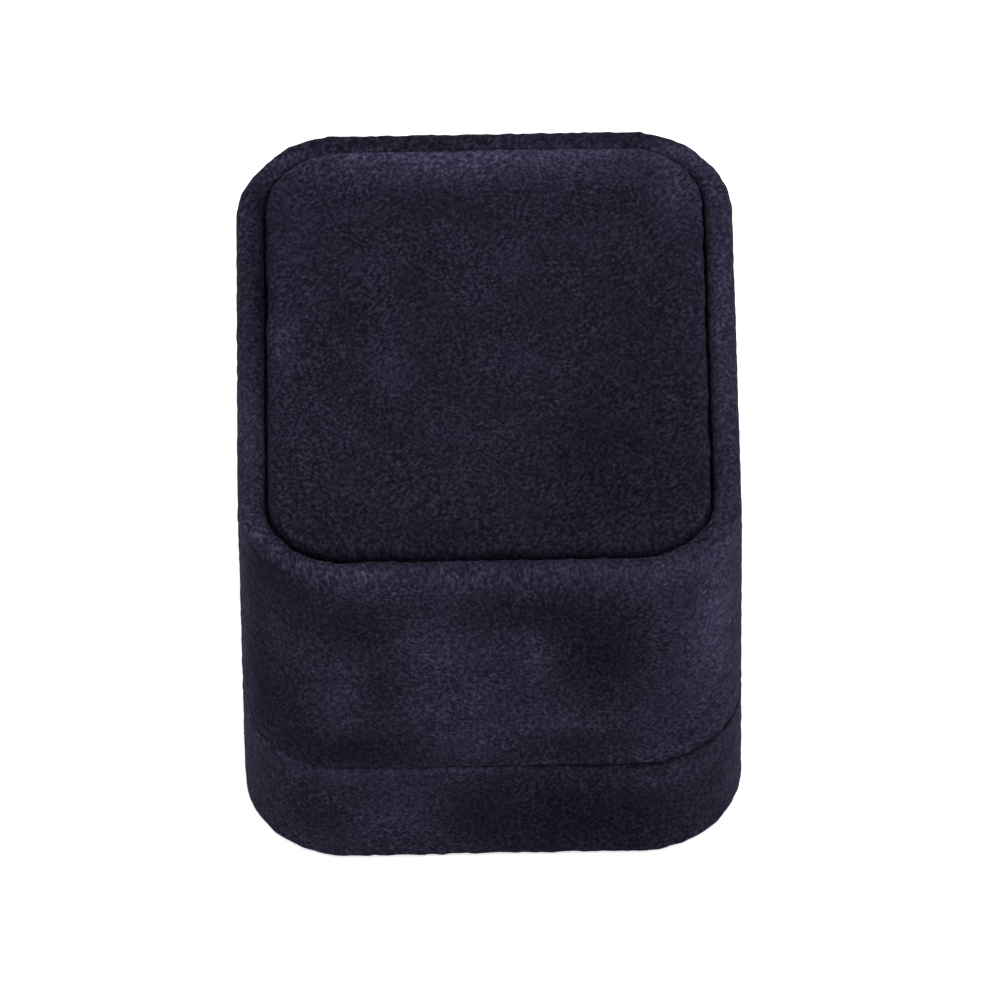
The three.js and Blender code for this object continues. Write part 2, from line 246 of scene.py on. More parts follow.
def sweep(name, profile, step, gap=0.0, through=None):
    """A closed profile of (inset, z) carried round the box. Across the gap only the stretch of the profile
    between the two points of through goes on, closed off underneath."""
    spots, facing, kept = stations(step, gap)
    n, m = len(spots), len(profile)
    points = np.empty((n, m, 3))
    points[:, :, :2] = spots[:, None, :] - facing[:, None, :] * profile[None, :, :1]
    points[:, :, 2] = profile[None, :, 1]
    faces = []
    for j in range(n):
        a, b = j * m, (j + 1) % n * m
        if j < kept:
            faces += [(a + i, a + (i + 1) % m, b + (i + 1) % m, b + i) for i in range(m)]
    if gap:
        first, last = through
        span = (last - first) % m
        going = [(first + k) % m for k in range(span + 1)]
        rest = [(last + k) % m for k in range(m - span + 1)]
        for j in range(kept, n):
            a, b = j * m, (j + 1) % n * m
            faces += [(a + i, a + k, b + k, b + i) for i, k in zip(going, going[1:])]
            faces.append((a + last, a + first, b + first, b + last))
        faces.append([kept * m + i for i in rest])
        faces.append(rest)
    return make_mesh(name, points.reshape(-1, 3), faces)


def slab(name, centre, half, radii, rows, height, step):
    """A pad on a rounded rectangle: a grid, and rows of (outward, z) that carry its edge down to a flat
    underside. radii are the corners' at low y and at high y, and height gives the grid's z from x and y."""
    nx, ny = (2 * max(2, round(h / step)) + 1 for h in half)
    gx, gy = np.meshgrid(np.linspace(-1, 1, nx) * half[0], np.linspace(-1, 1, ny) * half[1])
    radius = np.where(gy < 0, radii[0], radii[1])
    u = np.clip((np.abs(gx) - half[0]) / radius + 1, 0, None)
    v = np.clip((np.abs(gy) - half[1]) / radius + 1, 0, None)
    both = (u > 0) & (v > 0)
    du = np.where(both, u * np.sqrt(1 - v * v / 2), u)
    dv = np.where(both, v * np.sqrt(1 - u * u / 2), v)
    x = gx + np.sign(gx) * (du - u) * radius
    y = gy + np.sign(gy) * (dv - v) * radius
    z = height(x, y)
    grid = np.stack([x, y, z], -1).reshape(-1, 3)
    index = np.arange(nx * ny).reshape(ny, nx)
    rim = np.concatenate([index[0, :-1], index[:-1, -1], index[-1, :0:-1], index[:0:-1, 0]])
    edge_u, edge_v = (np.sign(gx) * du).ravel()[rim], (np.sign(gy) * dv).ravel()[rim]
    on_x, on_y = np.abs(edge_u) > 0.999, np.abs(edge_v) > 0.999
    corner = both.ravel()[rim]
    out = np.stack([
        np.where(corner, edge_u, np.where(on_x, np.sign(edge_u), 0)),
        np.where(corner, edge_v, np.where(on_x, 0, np.where(on_y, np.sign(edge_v), 0))),
    ], 1)
    out /= np.linalg.norm(out, axis=1)[:, None]
    loops = [grid[rim]]
    for outward, level in rows:
        loop = grid[rim].copy()
        loop[:, :2] += out * outward
        loop[:, 2] = level
        loops.append(loop)
    points = np.concatenate([grid, *loops[1:]])
    points[:, :2] += centre
    faces = [
        (index[j, i], index[j, i + 1], index[j + 1, i + 1], index[j + 1, i])
        for j in range(ny - 1) for i in range(nx - 1)
    ]
    n = len(rim)
    numbers = [list(rim)] + [[len(grid) + k * n + i for i in range(n)] for k in range(len(rows))]
    for a, b in zip(numbers, numbers[1:]):
        faces += [(a[i], a[(i + 1) % n], b[(i + 1) % n], b[i]) for i in range(n)]
    faces.append(numbers[-1])
    return make_mesh(name, points, faces)


def quarter_roll(radius, crown, back, step):
    """Rows that roll an edge over by radius from the crown's level and then go straight to the back's."""
    count = max(3, round(radius * math.pi / 2 / step))
    turns = [math.pi / 2 * k / count for k in range(1, count + 1)]
    way = math.copysign(radius, back - crown)
    rows = [(radius * math.sin(t), crown + way * (1 - math.cos(t))) for t in turns]
    rows += [(radius, z) for _, z in straight((0, crown + way), (0, back), step)[1:]]
    return rows + [(radius, back)]


# ---- Fields over the surface ----

def noise_at(points, size, seed):
    """Smooth value noise from -1 to 1 at each point, with lumps about size apart."""
    spot = points / size + seed * 17.31
    cell = np.floor(spot).astype(np.int64)
    share = spot - cell
    share = share * share * (3 - 2 * share)
    total = np.zeros(len(points))
    for corner in np.ndindex(2, 2, 2):
        c = cell + corner
        h = (c[:, 0] * 73856093) ^ (c[:, 1] * 19349663) ^ (c[:, 2] * 83492791) ^ (seed * 2654435761)
        h = (h ^ (h >> 13)) * 1274126177
        h = (h ^ (h >> 16)) & 0xFFFF
        weight = np.prod(np.where(corner, share, 1 - share), axis=1)
        total += weight * (h / 32767.5 - 1)
    return total


def inset_of(points):
    """How far inside the outside of the velvet each point lies, seen from above."""
    q = np.abs(points[:, :2] - [0, MIDDLE_Y]) - [HALF_X - CORNER, HALF_Y - CORNER]
    outside = np.linalg.norm(np.maximum(q, 0), axis=1) + np.minimum(q.max(1), 0)
    return CORNER - outside


def between(value, low, high):
    """0 up to low and 1 from high on, with a smooth rise between them."""
    t = np.clip((value - low) / (high - low), 0, 1)
    return t * t * (3 - 2 * t)


def bell(value, middle, width):
    """1 at the middle, and near 0 from two widths away."""
    return np.exp(-((value - middle) / width) ** 2)


# Where a hand has brushed the pile on the front wall, and where light and shade are painted on it (the
# lighter right-hand edge, the darker left-hand edge): x, z, half-width, half-height, and how many stops
# lighter or darker it looks.
FRONT_BRUSH_AND_LIGHT_STROKES = (
    (22.5, 32, 3, 12, 0.9), (19, 43, 6, 3, 0.4), (-21, 40, 3.5, 4.5, -0.9), (-21.5, 21, 4, 6, -1.0),
    (-14, 16.5, 6, 2.4, -1.15), (11, 30.5, 4.4, 6.5, -1.2), (5, 37, 7, 3, -0.75), (-13, 35, 4, 4, -0.8),
    (-16, 24, 3.5, 3.5, 0.35), (-5, 31, 3.5, 3.5, 0.5), (-6, 23, 4, 2, 0.3), (4.3, 29.5, 1.5, 3, 0.6),
    (-3, 17.5, 3, 3, 0.35), (8, 16.5, 6, 2.6, -0.8), (16.5, 14.8, 3, 1.5, 0.5), (9, 6, 10, 6, -1.5),
    (23, 9, 2.5, 3, -0.2), (-10, 5.5, 4, 3, 0.3), (-2, 6, 3, 4, -0.6), (-18, 7, 3.5, 3.5, -0.7),
    (6.5, 19.8, 5, 1.0, 0.35), (-24, 30, 1.8, 16, -0.8), (-11, 25, 2.2, 5, -0.6), (-13, 12.6, 6, 1.0, 0.35),
    (20, 38, 2, 5, -0.4), (17, 10.5, 4, 1.6, 0.5),
)
# The same on the top, with painted light and shade at the panel's rear edge and on the side rims: x, y,
# half-width, half-depth, stops.
TOP_BRUSH_AND_LIGHT_STROKES = (
    (0, 25.3, 20, 3.0, 1.3), (19.5, 21, 2.4, 6, 0.8), (-20.5, 0, 1.7, 5, 0.8), (-19, 14, 3, 10, 0.2),
    (13, -15, 9, 12, -0.55), (-6, -25, 12, 3, -0.4), (2, 11, 3, 3, 0.25), (-10, -4, 2.5, 2.5, 0.3),
    (3, -3, 4, 3, 0.3), (-14, 3, 3, 3, -0.3), (15, 2, 4, 5, -0.35), (-7, 8, 2, 8, -0.3),
    (-22.6, 9, 0.9, 14, -0.9), (-23.8, -14, 1.3, 12, 0.6), (23.3, 0, 1.5, 22, 0.6), (3, -11, 4, 4, 0.3),
    (-13, 27.5, 4, 1.5, 0.5), (10, 27.5, 9, 1.5, 0.5),
)


def strokes_at(across, along, strokes):
    total = np.zeros(len(across))
    for x, y, rx, ry, stops in strokes:
        total += stops * bell(across, x, rx) * bell(along, y, ry)
    return total


def pile_and_light_at(points):
    """How light the pile looks at each point, in stops: 0 is as it was cut. It holds the pile's random lie,
    and the strokes, which are partly brushed pile and partly painted light and shade.
    """
    lie_and_light = 0.16 * noise_at(points, 9, 3) + 0.15 * noise_at(points, 4, 4) + 0.14 * noise_at(points, 1.6, 5)
    on_front = between(-points[:, 1], -FRONT - 9, -FRONT - 4) * between(-points[:, 2], -RIM_TOP, -RIM_TOP + 1)
    on_top = between(points[:, 2], RIM_TOP - 2, RIM_TOP - 1)
    lie_and_light += on_front * strokes_at(points[:, 0], points[:, 2], FRONT_BRUSH_AND_LIGHT_STROKES)
    return lie_and_light + on_top * strokes_at(points[:, 0], points[:, 1], TOP_BRUSH_AND_LIGHT_STROKES)


def seam_shade(points, z):
    """1 along the seam on the right-hand side: painted shade where lid and base meet."""
    return between(points[:, 0], 4, 14) * bell(points[:, 2], z, 0.4)


def keep_pile_and_light(piece, values):
    attribute = piece.data.attributes.new("pile_and_light", "FLOAT", "POINT")
    attribute.data.foreach_set("value", values.astype(np.float32))


def tuft(piece, visible, seed, ragged=1.0):
    """Gives the pile its tufts and slow unevenness, on the points that show, and more where it is ragged."""
    points, out = points_of(piece.data), normals_of(piece.data)
    fine = 0.045 * noise_at(points, 0.62, seed) + 0.05 * noise_at(points, 1.1, seed + 1)
    lift = fine * ragged + 0.035 * noise_at(points, 6, seed + 2)
    set_points(piece, points + out * (lift * visible)[:, None])


# ---- Materials ----

def add(tree, kind, values=None, **settings):
    made = tree.nodes.new(kind)
    for key, value in settings.items():
        setattr(made, key, value)
    for key, value in (values or {}).items():
        if isinstance(value, bpy.types.NodeSocket):
            tree.links.new(value, made.inputs[key])
        else:
            made.inputs[key].default_value = value
    return made


def material(name, **constants):
    """A material with its Principled shader's constants set on the shader's own sockets."""
    made = bpy.data.materials.new(name)
    made.use_nodes = True
    shader = made.node_tree.nodes["Principled BSDF"]
    for key, value in constants.items():
        shader.inputs[key.replace("_", " ")].default_value = value
    return made, made.node_tree, shader


def place_in(tree):
    return add(tree, "ShaderNodeTexCoord").outputs["Object"]


def fine_noise(tree, place, scale, detail=2.0, roughness=0.55, distortion=0.0):
    made = add(tree, "ShaderNodeTexNoise", {
        "Vector": place, "Scale": scale, "Detail": detail, "Roughness": roughness, "Distortion": distortion,
    })
    return made.outputs["Fac"]


def laid(tree, place, turn, size):
    """Coordinates for streaks: turned, then stretched so that one unit is size metres each way."""
    made = add(tree, "ShaderNodeMapping", {"Vector": place, "Rotation": turn, "Scale": size})
    made.vector_type = "TEXTURE"
    return made.outputs["Vector"]


def calc(tree, operation, a, b, c=None, clamp=False):
    values = {0: a, 1: b} if c is None else {0: a, 1: b, 2: c}
    return add(tree, "ShaderNodeMath", values, operation=operation, use_clamp=clamp).outputs[0]


def mix_of(tree, factor, a, b, kind="FLOAT"):
    made = add(tree, "ShaderNodeMix", data_type=kind)
    numbers = {"FLOAT": (2, 3), "RGBA": (6, 7)}[kind]
    for number, value in zip((0, *numbers), (factor, a, b)):
        if isinstance(value, bpy.types.NodeSocket):
            tree.links.new(value, made.inputs[number])
        else:
            made.inputs[number].default_value = value
    return made.outputs[2 if kind == "RGBA" else 0]


def bump(tree, shader, height, distance, strength=1.0):
    made = add(tree, "ShaderNodeBump", {"Height": height, "Distance": distance, "Strength": strength})
    tree.links.new(made.outputs["Normal"], shader.inputs["Normal"])


def velvet():
    """Short cut pile: tufts that lie two ways in patches, darker between them, and lighter or darker where
    brushed and where light and shade are painted into the mesh's attribute.
    """
    made, tree, shader = material(
        "navy_velvet", Roughness=0.95, Specular_IOR_Level=0.01, Sheen_Weight=0.14, Sheen_Roughness=0.4,
        Sheen_Tint=(0.18, 0.155, 0.27, 1),
    )
    place, tuft_size = place_in(tree), (0.00058, 0.00036, 0.00036)
    slant = fine_noise(tree, laid(tree, place, (0, 0.42, 0.98), tuft_size), 1.0, 2.0, 0.6)
    steep = fine_noise(tree, laid(tree, place, (0, -0.91, 1.81), tuft_size), 1.0, 2.0, 0.6)
    patch = add(tree, "ShaderNodeMapRange", {
        "Value": fine_noise(tree, place, 85, 2, 0.5), "From Min": 0.42, "From Max": 0.58,
    }).outputs["Result"]
    pile = mix_of(tree, patch, slant, steep)
    # The mesh's attribute: brushed pile, and painted light and shade.
    lie_and_light = add(tree, "ShaderNodeAttribute", attribute_name="pile_and_light").outputs["Fac"]
    raised = calc(tree, "MULTIPLY_ADD", pile, 2.5, -0.83, clamp=True)
    tone = calc(tree, "POWER", raised, 1.7)
    as_cut = mix_of(tree, tone, (0.0068, 0.0053, 0.0128, 1), (0.0380, 0.0336, 0.0575, 1), "RGBA")
    lighter = calc(tree, "POWER", 2.0, lie_and_light)
    colour = add(tree, "ShaderNodeVectorMath", {0: as_cut, "Scale": lighter}, operation="SCALE").outputs[0]
    tree.links.new(colour, shader.inputs["Base Color"])
    bump(tree, shader, pile, 0.00016)
    return made


def satin():
    """Dark satin: a fine warp and weft with a soft shine."""
    made, tree, shader = material(
        "navy_satin", Roughness=0.42, Specular_IOR_Level=0.35, Sheen_Weight=0.2, Sheen_Roughness=0.3,
        Sheen_Tint=(0.4, 0.38, 0.7, 1), Anisotropic=0.5,
    )
    place = place_in(tree)
    warp = add(tree, "ShaderNodeTexWave", {
        "Vector": place, "Scale": 900.0, "Distortion": 1.2, "Detail": 2.0, "Detail Scale": 0.6,
    }, bands_direction="X").outputs["Fac"]
    weft = add(tree, "ShaderNodeTexWave", {
        "Vector": place, "Scale": 500.0, "Distortion": 1.2, "Detail": 2.0, "Detail Scale": 0.6,
    }, bands_direction="DIAGONAL").outputs["Fac"]
    thread = mix_of(tree, 0.35, warp, weft)
    cloud = fine_noise(tree, place, 160, 3)
    tone = calc(tree, "MULTIPLY_ADD", thread, 0.35, calc(tree, "MULTIPLY", cloud, 0.65), clamp=True)
    colour = mix_of(tree, tone, (0.012, 0.011, 0.026, 1), (0.042, 0.038, 0.078, 1), "RGBA")
    tree.links.new(colour, shader.inputs["Base Color"])
    bump(tree, shader, thread, 0.00003, 0.5)
    return made


def moulded_plastic():
    """Black moulded plastic with a fine spark-eroded grain."""
    made, tree, shader = material("black_plastic", Specular_IOR_Level=0.45)
    place = place_in(tree)
    grain = fine_noise(tree, place, 5200, 3, 0.6)
    colour = mix_of(tree, grain, (0.006, 0.006, 0.008, 1), (0.016, 0.016, 0.019, 1), "RGBA")
    tree.links.new(colour, shader.inputs["Base Color"])
    rough = calc(tree, "MULTIPLY_ADD", fine_noise(tree, place, 140, 3), 0.3, 0.36)
    tree.links.new(rough, shader.inputs["Roughness"])
    bump(tree, shader, grain, 0.00004, 0.6)
    return made


def board(name, dark, light):
    """Pressed board: matt, with paler and darker fibres."""
    made, tree, shader = material(name, Roughness=0.92, Specular_IOR_Level=0.2)
    place = place_in(tree)
    fibres = fine_noise(tree, laid(tree, place, (0.2, 0.1, 0.5), (0.0016, 0.0003, 0.0003)), 1.0, 4, 0.65, 0.4)
    fleck = add(tree, "ShaderNodeMapRange", {
        "Value": fine_noise(tree, place, 1500, 2), "From Min": 0.6, "From Max": 0.72,
    }).outputs["Result"]
    tone = calc(tree, "SUBTRACT", calc(tree, "MULTIPLY_ADD", fibres, 1.7, -0.35), fleck, clamp=True)
    tree.links.new(mix_of(tree, tone, dark, light, "RGBA"), shader.inputs["Base Color"])
    bump(tree, shader, fibres, 0.00005, 0.7)
    return made


def open_foam():
    """Open-cell foam."""
    made, tree, shader = material("grey_foam", Roughness=1.0, Specular_IOR_Level=0.1)
    place = place_in(tree)
    cells = add(tree, "ShaderNodeTexVoronoi", {"Vector": place, "Scale": 1900.0}).outputs["Distance"]
    colour = mix_of(tree, cells, (0.10, 0.10, 0.11, 1), (0.34, 0.33, 0.33, 1), "RGBA")
    tree.links.new(colour, shader.inputs["Base Color"])
    bump(tree, shader, cells, 0.0002, 0.8)
    return made


def plated_steel():
    """Nickel-plated sheet steel with drawing marks along X."""
    made, tree, shader = material("nickel_steel", Metallic=1.0, Anisotropic=0.4)
    place = place_in(tree)
    marks = fine_noise(tree, laid(tree, place, (0, 0, 0), (0.009, 0.00012, 0.00012)), 1.0, 3, 0.6)
    colour = mix_of(tree, marks, (0.46, 0.44, 0.40, 1), (0.74, 0.72, 0.67, 1), "RGBA")
    tree.links.new(colour, shader.inputs["Base Color"])
    rough = calc(tree, "MULTIPLY_ADD", fine_noise(tree, place, 420, 3), 0.28, 0.16)
    tree.links.new(rough, shader.inputs["Roughness"])
    bump(tree, shader, marks, 0.000012, 0.5)
    return made


VELVET, SATIN, PLASTIC, FOAM, STEEL = velvet(), satin(), moulded_plastic(), open_foam(), plated_steel()
GREYBOARD = board("greyboard", (0.10, 0.095, 0.085, 1), (0.34, 0.32, 0.28, 1))
BLACK_CARD = board("flocked_black_card", (0.006, 0.005, 0.009, 1), (0.022, 0.019, 0.030, 1))


def dress(piece, finish):
    piece.data.materials.clear()
    piece.data.materials.append(finish)


CAD_FINISHES = (
    (PLASTIC, ("base_shell", "lid_shell")),
    (GREYBOARD, ("ring_pad_card", "top_panel_card", "lid_liner_card")),
    (BLACK_CARD, ("base_bottom_card",)),
    (FOAM, ("ring_foam_front", "ring_foam_rear", "top_panel_foam", "lid_liner_foam")),
    (STEEL, (
        "hinge_base_leaf", "hinge_lid_leaf", "hinge_pin", "hinge_spring", "hinge_base_rivet_left",
        "hinge_base_rivet_right", "hinge_lid_rivet_left", "hinge_lid_rivet_right",
    )),
)
for finish, names in CAD_FINISHES:
    for name in names:
        dress(frame["nodes"][name], finish)


# ---- Camera ----

CAMERA_TURN = 0.0040294
CAMERA_HEIGHT = 0.8370878
CAMERA_ROLL = 0.0138646
CAMERA_AWAY = 1.596
CAMERA_LENS = 569.4
CAMERA_RIGHT = 0.001127
CAMERA_UP = -0.000848
CAMERA_DROP = 0.4  # how much lower the box was when the camera was fitted to it
target = Vector((0, MIDDLE_Y * MM, (cad_bounds[1].z - CAMERA_DROP * MM) / 2))


def make_camera():
    cos_e, sin_e = math.cos(CAMERA_HEIGHT), math.sin(CAMERA_HEIGHT)
    cos_a, sin_a = math.cos(CAMERA_TURN), math.sin(CAMERA_TURN)
    back = Vector((-sin_a * cos_e, -cos_a * cos_e, sin_e))
    level = Vector((cos_a, -sin_a, 0))
    rising = Vector((sin_a * sin_e, cos_a * sin_e, cos_e))
    right = level * math.cos(CAMERA_ROLL) - rising * math.sin(CAMERA_ROLL)
    up = level * math.sin(CAMERA_ROLL) + rising * math.cos(CAMERA_ROLL)
    data = bpy.data.cameras.new("camera")
    data.lens = CAMERA_LENS
    data.clip_end = 20
    camera = bpy.data.objects.new("camera", data)
    place = target + back * CAMERA_AWAY + right * CAMERA_RIGHT + up * CAMERA_UP
    camera.matrix_world = Matrix.Translation(place) @ Matrix((right, up, back)).transposed().to_4x4()
    bpy.context.scene.collection.objects.link(camera)
    bpy.context.scene.camera = camera


make_camera()


# ---- Velvet wraps ----

def rolled(inset, z, radius):
    return (inset, z, radius, NAP_STEP)


def hidden(inset, z):
    return (inset, z, 0, HIDDEN_STEP)


def nearest(profile, inset, z):
    return int(np.argmin(np.linalg.norm(profile - [inset, z], axis=1)))


def lid_wrap():
    profile = fillet([
        rolled(0, LID_BOTTOM - PILE_OVER, SEAM_ROLL), rolled(0, RIM_TOP, RIM_ROLL),
        rolled(GROOVE_OUT, RIM_TOP, GROOVE_ROLL), hidden(GROOVE_OUT, GROOVE_Z + FOOT),
        hidden(GROOVE_OUT + FOOT, GROOVE_Z + FOOT), hidden(GROOVE_OUT + FOOT, GROOVE_Z),
        hidden(GROOVE_IN, GROOVE_Z), hidden(GROOVE_IN, RIM_TOP - SKIN), hidden(SKIN, RIM_TOP - SKIN),
        hidden(SKIN, LID_BOTTOM + TURN), hidden(LIP_OUT, LID_BOTTOM + TURN),
        hidden(LIP_OUT, LID_BOTTOM + LIP_HEIGHT), hidden(LIP_IN, LID_BOTTOM + LIP_HEIGHT),
        rolled(LIP_IN, LID_BOTTOM - PILE_OVER, LIP_ROLL),
    ])
    through = nearest(profile, 0, STRIP_END_Z), nearest(profile, SKIN, RIM_TOP - SKIN)
    piece = sweep("lid_velvet_cover", profile, NAP_STEP, GAP_HALF, through)
    points = points_of(piece.data)
    inset, z = inset_of(points), points[:, 2]
    groove_wall = (inset > GROOVE_OUT - 0.1) & (z > GROOVE_Z + 0.5)
    shows = (inset < 0.5) | (z > RIM_TOP - SKIN + 0.05) | groove_wall
    ragged = 1 + 0.7 * between(z, RIM_TOP - 1.6, RIM_TOP - 0.4) + 0.8 * bell(z, LID_BOTTOM, 0.7)
    tuft(piece, shows, 11, ragged)

    # Strengths: the rear rim's fullness, and the painted shade on it, the painted light in the groove and the
    # painted shadow above the seam.
    rear_fullness, rear_shade, groove_light, seam_shadow_strength = 0.2, 0.75, 0.8, 0.2
    points = points_of(piece.data)
    # The rear rim behind the panel: made a little fuller, and darkened with painted shade.
    rear_rim = between(points[:, 1], REAR - 3.5, REAR - 1.5) * between(z, RIM_TOP - 4, RIM_TOP - 1)
    fuller = rear_fullness * rear_rim * (inset < 1.8)
    set_points(piece, points + normals_of(piece.data) * fuller[:, None])
    # Painted highlight along the rim's outer roll, strongest at the front; painted shadow just above the seam
    # on the left and painted shade along it on the right; painted light lifting the groove's dark wall round
    # the panel.
    ridge_highlight = bell(inset, 0.9, 1.3) * bell(z, RIM_TOP - 0.3, 1.5)
    forward = 0.4 + 0.6 * between(-points[:, 1], -FRONT - 12, -FRONT - 4)
    uneven = 0.85 + 0.35 * noise_at(points, 7, 9)
    shadow_above_seam = (1 - between(z, LID_BOTTOM + 0.5, LID_BOTTOM + 3)) * between(-points[:, 0], -8, 2)
    shadow_above_seam += 4 * seam_shade(points, LID_BOTTOM)
    groove = between(inset, GROOVE_OUT - 0.6, GROOVE_OUT - 0.1) * between(-z, -RIM_TOP + 0.2, -RIM_TOP + 0.8)
    light = forward * uneven * ridge_highlight - seam_shadow_strength * shadow_above_seam
    keep_pile_and_light(piece, pile_and_light_at(points) + light - rear_shade * rear_rim + groove_light * groove)
    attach(piece, "lid")
    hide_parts("lid_velvet")
    return piece


def base_wrap():
    profile = fillet([
        rolled(0, BASE_TOP + PILE_OVER, SEAM_ROLL), rolled(0, WRAP_REACH, FLOOR_ROLL),
        rolled(TURN_UNDER, WRAP_REACH, UNDER_ROLL), hidden(TURN_UNDER, UNDER_Z), hidden(SKIN, UNDER_Z),
        hidden(SKIN, BASE_TOP - TURN), hidden(LIP_OUT, BASE_TOP - TURN),
        hidden(LIP_OUT, BASE_TOP - LIP_HEIGHT), hidden(LIP_IN, BASE_TOP - LIP_HEIGHT),
        rolled(LIP_IN, BASE_TOP + PILE_OVER, LIP_ROLL),
    ])
    through = nearest(profile, 0, UNDER_Z + 0.1), nearest(profile, SKIN, UNDER_Z)
    piece = sweep("base_velvet_cover", profile, NAP_STEP, GAP_HALF, through)
    points = points_of(piece.data)
    inset, z = inset_of(points), points[:, 2]
    shows = (inset < 0.5) | (z > BASE_TOP - TURN + 0.1) | (z < UNDER_Z - 0.1)
    tuft(piece, shows, 21, 1 + 0.8 * bell(z, BASE_TOP, 0.7))
    lit_edge = between(z, BASE_TOP - 1.0, BASE_TOP - 0.2) * between(-points[:, 0], -6, 2)
    keep_pile_and_light(piece, pile_and_light_at(points) + 0.5 * lit_edge - 0.8 * seam_shade(points, BASE_TOP))
    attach(piece, "base")
    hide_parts("base_velvet")
    return piece


def pad_place(inset, roll):
    """Half the sides of a pad's flat part and its corner radius, where its edge rolls over to inset."""
    return (HALF_X - inset - roll, HALF_Y - inset - roll), CORNER - inset - roll


def crowned(half, edge, rise, steepness):
    """A slab's height: edge's level at the edge, and rise more over the middle."""
    def height(x, y):
        share = np.clip(1 - np.maximum(np.abs(x) / half[0], np.abs(y) / half[1]), 0, 1)
        return edge + rise * (1 - (1 - np.clip(share * steepness, 0, 1)) ** 2)

    return height


def top_pad():
    """The padded panel in the lid: crowned, with a soft rolled edge that wavers a little."""
    roll, slim, proud, backward = 0.85, 0.12, 0.08, 0.16
    inset = HALF_X - panel_high[0] + slim
    bottom, edge = panel_low[2], panel_high[2] + proud
    half, corner = pad_place(inset, roll)
    height = crowned(half, edge, 0.2, 2.2)
    rows = quarter_roll(roll, edge, bottom, NAP_STEP)
    piece = slab("top_panel_pad", (0, MIDDLE_Y + backward), half, (corner, corner), rows, height, NAP_STEP)

    points, out = points_of(piece.data), normals_of(piece.data)
    side = between(-points[:, 2], -edge, -edge + 1.2) * between(points[:, 2], bottom, bottom + 1)
    level = [1, 1, 0]
    waver = 0.16 * noise_at(points * level, 5.5, 31) + 0.08 * noise_at(points * level, 2.2, 32)
    set_points(piece, points + out * level * (waver * side)[:, None])
    tuft(piece, points[:, 2] > bottom + 0.6, 33, 1 + 1.2 * side)

    points = points_of(piece.data)
    # Painted shade down the panel's side into the groove and on its front roll, and a painted highlight on
    # its rear roll.
    sunk_shade = between(-points[:, 2], -edge + 0.3, -edge + 2.0)
    front_edge, rear_edge = -FRONT - inset, REAR - inset
    front_roll_shade = between(-points[:, 1], front_edge - 1.6, front_edge - 0.4)
    rear_roll_highlight = between(points[:, 1], rear_edge - 2.2, rear_edge - 0.7)
    keep_pile_and_light(piece, pile_and_light_at(points) - 0.2 * sunk_shade - 0.1 * front_roll_shade + 0.35 * rear_roll_highlight)
    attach(piece, "lid")
    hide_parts("top_panel_velvet")
    return piece


def spine_strip():
    """The velvet strip glued over the hinge. It swells over the hinge's barrel and is pinched flat past the
    barrel's ends."""
    half = strip_high[0] + 0.2
    low, high = tail_low[2], strip_high[2]
    deep, proud, thick, bevel = strip_low[1], strip_high[1], 0.6, 0.35
    reach, barrel_half = knuckle_high[1] - HINGE_Y + 0.12, pin_high[0]

    def over_barrel(z, radius):
        return HINGE_Y + np.sqrt(np.clip(radius ** 2 - (z - HINGE_Z) ** 2, 0, None))

    first, last = (0, low + 0.3), (0, high - 0.3)
    outer = np.array(straight(first, last, NAP_STEP) + [last])[:, 1]
    swell = 0.558 * bell(outer, HINGE_Z, 2.1)
    outer_y = np.maximum(proud + swell, over_barrel(outer, reach + thick))
    round_barrel = np.array([1.6, 1, 0.85, 0.6, 0.3, 0, -0.3, -0.6, -0.85, -1, -1.6])
    inner = np.concatenate([
        [high - 0.1], np.arange(34, 17, -4), HINGE_Z + reach * round_barrel, np.arange(9, low + 1, -3),
        [low + 0.1],
    ])
    inner_y = np.maximum(deep, over_barrel(inner, reach))
    section = np.array([
        (proud - 0.1, low + 0.1), *zip(outer_y, outer), (proud - 0.1, high - 0.1), (proud - bevel, high),
        *zip(inner_y, inner), (proud - bevel, low),
    ])
    across = np.linspace(-half, half, round(2 * half / NAP_STEP) + 1)
    n, m = len(across), len(section)
    on_outside, on_inside = np.zeros(m, bool), np.zeros(m, bool)
    on_outside[1:len(outer) + 1] = True
    on_inside[len(outer) + 3:-1] = True

    pinch = between(np.abs(across), barrel_half, half - 0.05)
    past_barrel = np.abs(across) > barrel_half + 0.05
    swollen = np.maximum(section[:, 0] - proud, 0)
    pinched = section[:, 0] - pinch[:, None] * swollen
    flattened = np.where(past_barrel[:, None], deep, section[:, 0])
    side = np.clip((half - np.abs(across)) / 0.45, 0, 1)
    thinner = 0.65 * (1 - np.sqrt(1 - (1 - side) ** 2)) * thick
    points = np.empty((n, m, 3))
    points[:, :, 0] = across[:, None]
    points[:, :, 1] = np.where(on_inside, flattened, pinched) - thinner[:, None] * on_outside
    points[:, :, 2] = section[:, 1]
    faces = [
        (j * m + i, j * m + (i + 1) % m, (j + 1) * m + (i + 1) % m, (j + 1) * m + i)
        for j in range(n - 1) for i in range(m)
    ]
    faces += [list(range(m)), [(n - 1) * m + i for i in range(m)]]
    piece = make_mesh("spine_strip", points.reshape(-1, 3), faces)

    spots = points_of(piece.data)
    tuft(piece, (spots[:, 1] > proud - 0.2) & (np.abs(spots[:, 0]) < half - 0.01), 41)
    spots = points_of(piece.data)
    edge = between(np.abs(spots[:, 0]), half - 0.8, half - 0.1)
    keep_pile_and_light(piece, pile_and_light_at(spots) - 0.15 + 0.4 * edge)
    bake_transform(piece)
    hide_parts("hinge_cover_lower", "hinge_cover_upper")
    return piece


# ---- Cushions and lining ----

COPY_SCALE = 12  # how much larger the copy is that the cloth simulation swells
CLOTH_STEPS = 20
PRESSURE = 4.0
CAP = 0.9  # the furthest that swelling may move a point
INWARD_CAP = 0.12  # and the furthest that it may sink one

PAD_STEP = 1.1  # between a pad's points before its mesh is refined
LINING_STEP = 0.45


